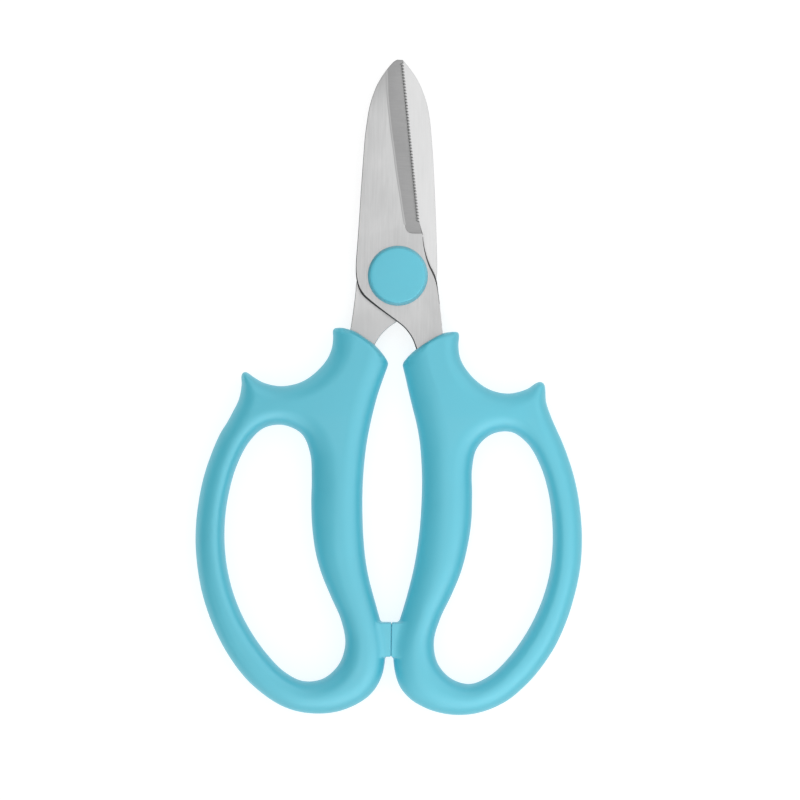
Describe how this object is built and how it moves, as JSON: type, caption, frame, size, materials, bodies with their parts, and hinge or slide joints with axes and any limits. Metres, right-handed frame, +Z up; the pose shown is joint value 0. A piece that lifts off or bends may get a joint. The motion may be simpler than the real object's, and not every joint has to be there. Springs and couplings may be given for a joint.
{
  "type": "floral snips",
  "caption": "Floral snips: two pointed steel blades on a capped pivot, with moulded plastic finger-loop grips that stop against each other when closed.",
  "frame": {"origin": "bottom centre of the bounding box of the closed snips lying flat", "axes": "+X to the right across the handles, +Y along the blades to their tips, +Z up out of the face with the front pivot cap"},
  "size_m": [0.1196, 0.203, 0.012],
  "materials": {
    "blade_steel": "satin stainless steel, fine lengthwise brushing, ground bevel",
    "grip_plastic": "satin light blue moulding",
    "pivot_steel": "zinc-plated turned steel",
    "washer_nylon": "natural nylon"
  },
  "bodies": {
    "front_half": {"front_blade": "blade_steel", "right_handle": "grip_plastic", "pivot_bolt": "pivot_steel", "head_washer": "washer_nylon", "spring_washer": "pivot_steel", "pivot_nut": "pivot_steel", "front_pivot_cap": "grip_plastic", "rear_pivot_cap": "grip_plastic"},
    "rear_half": {"rear_blade": "blade_steel", "left_handle": "grip_plastic"}
  },
  "joints": [
    {"name": "pivot_hinge", "type": "hinge", "parent": "front_half", "child": "rear_half", "pos_m": [0.00134, 0.0345, 0.006], "axis": [0, 0, -1], "range_deg": [0, 100]}
  ]
}
